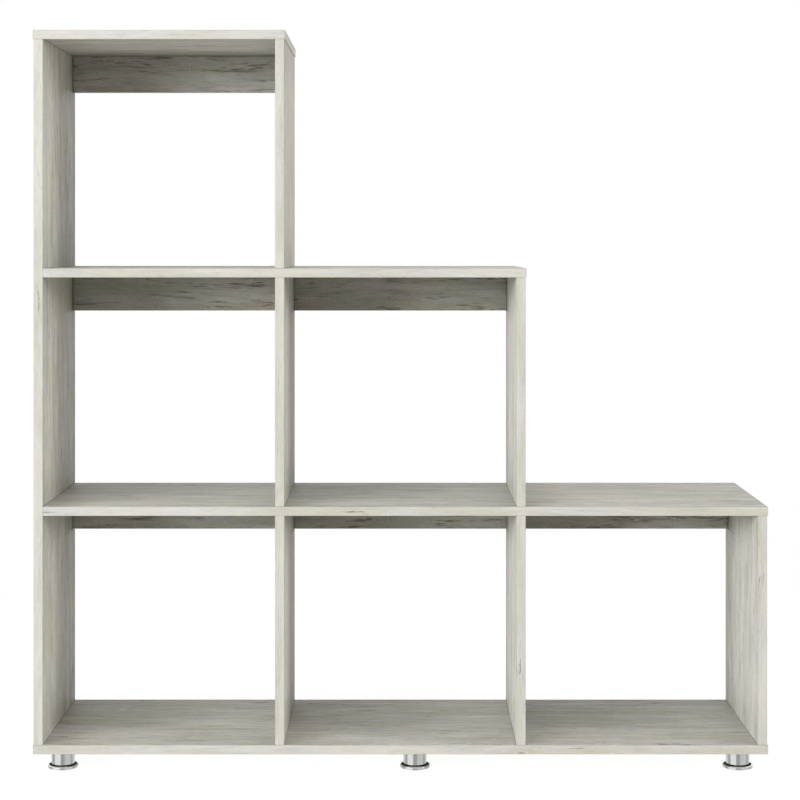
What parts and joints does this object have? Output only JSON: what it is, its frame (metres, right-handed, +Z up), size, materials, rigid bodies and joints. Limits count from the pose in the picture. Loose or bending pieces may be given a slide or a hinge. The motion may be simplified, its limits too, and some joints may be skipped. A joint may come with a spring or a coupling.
{
  "type": "staircase bookshelf",
  "caption": "Open stepped bookcase of pale whitewashed oak boards with back rails, standing on chromed levelling feet; serves as shelf or room divider.",
  "frame": {"origin": "on the floor, under the middle of the overall box", "axes": "+X to the viewer's right, towards the low end of the staircase; +Y towards the rear, where the rails are; +Z up"},
  "size_m": [1.203, 0.33, 1.2162],
  "materials": {
    "whitewashed_oak_board": "matt whitewashed oak decor on particle board, with matching edge band",
    "chrome": "polished chrome plating",
    "black_plastic": "black moulded plastic",
    "zinc_screw": "bright zinc plating"
  },
  "bodies": {
    "carcass": {"bottom_panel": "whitewashed_oak_board", "bottom_screw_1_front": "zinc_screw", "bottom_screw_1_rear": "zinc_screw", "bottom_screw_2_front": "zinc_screw", "bottom_screw_2_rear": "zinc_screw", "bottom_screw_3_front": "zinc_screw", "bottom_screw_3_rear": "zinc_screw", "bottom_screw_4_front": "zinc_screw", "bottom_screw_4_rear": "zinc_screw", "front_centre_foot_sleeve": "chrome", "front_centre_foot_socket": "black_plastic", "front_left_foot_sleeve": "chrome", "front_left_foot_socket": "black_plastic", "front_right_foot_sleeve": "chrome", "front_right_foot_socket": "black_plastic", "left_side_panel": "whitewashed_oak_board", "lower_back_rail_centre": "whitewashed_oak_board", "lower_back_rail_left": "whitewashed_oak_board", "lower_back_rail_right": "whitewashed_oak_board", "lower_divider_left": "whitewashed_oak_board", "lower_divider_right": "whitewashed_oak_board", "lower_right_side": "whitewashed_oak_board", "lower_shelf": "whitewashed_oak_board", "middle_back_rail_left": "whitewashed_oak_board", "middle_back_rail_right": "whitewashed_oak_board", "middle_divider": "whitewashed_oak_board", "middle_right_side": "whitewashed_oak_board", "middle_shelf": "whitewashed_oak_board", "rear_centre_foot_sleeve": "chrome", "rear_centre_foot_socket": "black_plastic", "rear_left_foot_sleeve": "chrome", "rear_left_foot_socket": "black_plastic", "rear_right_foot_sleeve": "chrome", "rear_right_foot_socket": "black_plastic", "side_screw_1_front": "zinc_screw", "side_screw_1_rear": "zinc_screw", "side_screw_2_front": "zinc_screw", "side_screw_2_rear": "zinc_screw", "top_panel": "whitewashed_oak_board", "top_screw_1_front": "zinc_screw", "top_screw_1_rear": "zinc_screw", "top_screw_2_front": "zinc_screw", "top_screw_2_rear": "zinc_screw", "upper_back_rail": "whitewashed_oak_board", "upper_right_side": "whitewashed_oak_board"},
    "front_left_foot_cup": {"front_left_foot_cup": "chrome"},
    "front_left_foot_base": {"front_left_foot_threaded_base": "black_plastic"},
    "front_centre_foot_cup": {"front_centre_foot_cup": "chrome"},
    "front_centre_foot_base": {"front_centre_foot_threaded_base": "black_plastic"},
    "front_right_foot_cup": {"front_right_foot_cup": "chrome"},
    "front_right_foot_base": {"front_right_foot_threaded_base": "black_plastic"},
    "rear_left_foot_cup": {"rear_left_foot_cup": "chrome"},
    "rear_left_foot_base": {"rear_left_foot_threaded_base": "black_plastic"},
    "rear_centre_foot_cup": {"rear_centre_foot_cup": "chrome"},
    "rear_centre_foot_base": {"rear_centre_foot_threaded_base": "black_plastic"},
    "rear_right_foot_cup": {"rear_right_foot_cup": "chrome"},
    "rear_right_foot_base": {"rear_right_foot_threaded_base": "black_plastic"}
  },
  "joints": [
    {"name": "front_left_foot_height", "type": "slide", "parent": "carcass", "child": "front_left_foot_cup", "axis": [0, 0, -1], "range_m": [0, 0.009]},
    {"name": "front_left_foot_turn", "type": "hinge", "parent": "front_left_foot_cup", "child": "front_left_foot_base", "pos_m": [-0.5585, -0.122, 0], "axis": [0, 0, -1], "range_deg": [0, 2160]},
    {"name": "front_centre_foot_height", "type": "slide", "parent": "carcass", "child": "front_centre_foot_cup", "axis": [0, 0, -1], "range_m": [0, 0.009]},
    {"name": "front_centre_foot_turn", "type": "hinge", "parent": "front_centre_foot_cup", "child": "front_centre_foot_base", "pos_m": [0.0243, -0.122, 0], "axis": [0, 0, -1], "range_deg": [0, 2160]},
    {"name": "front_right_foot_height", "type": "slide", "parent": "carcass", "child": "front_right_foot_cup", "axis": [0, 0, -1], "range_m": [0, 0.009]},
    {"name": "front_right_foot_turn", "type": "hinge", "parent": "front_right_foot_cup", "child": "front_right_foot_base", "pos_m": [0.5585, -0.122, 0], "axis": [0, 0, -1], "range_deg": [0, 2160]},
    {"name": "rear_left_foot_height", "type": "slide", "parent": "carcass", "child": "rear_left_foot_cup", "axis": [0, 0, -1], "range_m": [0, 0.009]},
    {"name": "rear_left_foot_turn", "type": "hinge", "parent": "rear_left_foot_cup", "child": "rear_left_foot_base", "pos_m": [-0.5585, 0.122, 0], "axis": [0, 0, -1], "range_deg": [0, 2160]},
    {"name": "rear_centre_foot_height", "type": "slide", "parent": "carcass", "child": "rear_centre_foot_cup", "axis": [0, 0, -1], "range_m": [0, 0.009]},
    {"name": "rear_centre_foot_turn", "type": "hinge", "parent": "rear_centre_foot_cup", "child": "rear_centre_foot_base", "pos_m": [0.0243, 0.122, 0], "axis": [0, 0, -1], "range_deg": [0, 2160]},
    {"name": "rear_right_foot_height", "type": "slide", "parent": "carcass", "child": "rear_right_foot_cup", "axis": [0, 0, -1], "range_m": [0, 0.009]},
    {"name": "rear_right_foot_turn", "type": "hinge", "parent": "rear_right_foot_cup", "child": "rear_right_foot_base", "pos_m": [0.5585, 0.122, 0], "axis": [0, 0, -1], "range_deg": [0, 2160]}
  ],
  "couplings": [
    {"joint": "front_left_foot_height", "follows": "front_left_foot_turn", "m_per_rad": 0.00023873},
    {"joint": "front_centre_foot_height", "follows": "front_centre_foot_turn", "m_per_rad": 0.00023873},
    {"joint": "front_right_foot_height", "follows": "front_right_foot_turn", "m_per_rad": 0.00023873},
    {"joint": "rear_left_foot_height", "follows": "rear_left_foot_turn", "m_per_rad": 0.00023873},
    {"joint": "rear_centre_foot_height", "follows": "rear_centre_foot_turn", "m_per_rad": 0.00023873},
    {"joint": "rear_right_foot_height", "follows": "rear_right_foot_turn", "m_per_rad": 0.00023873}
  ]
}
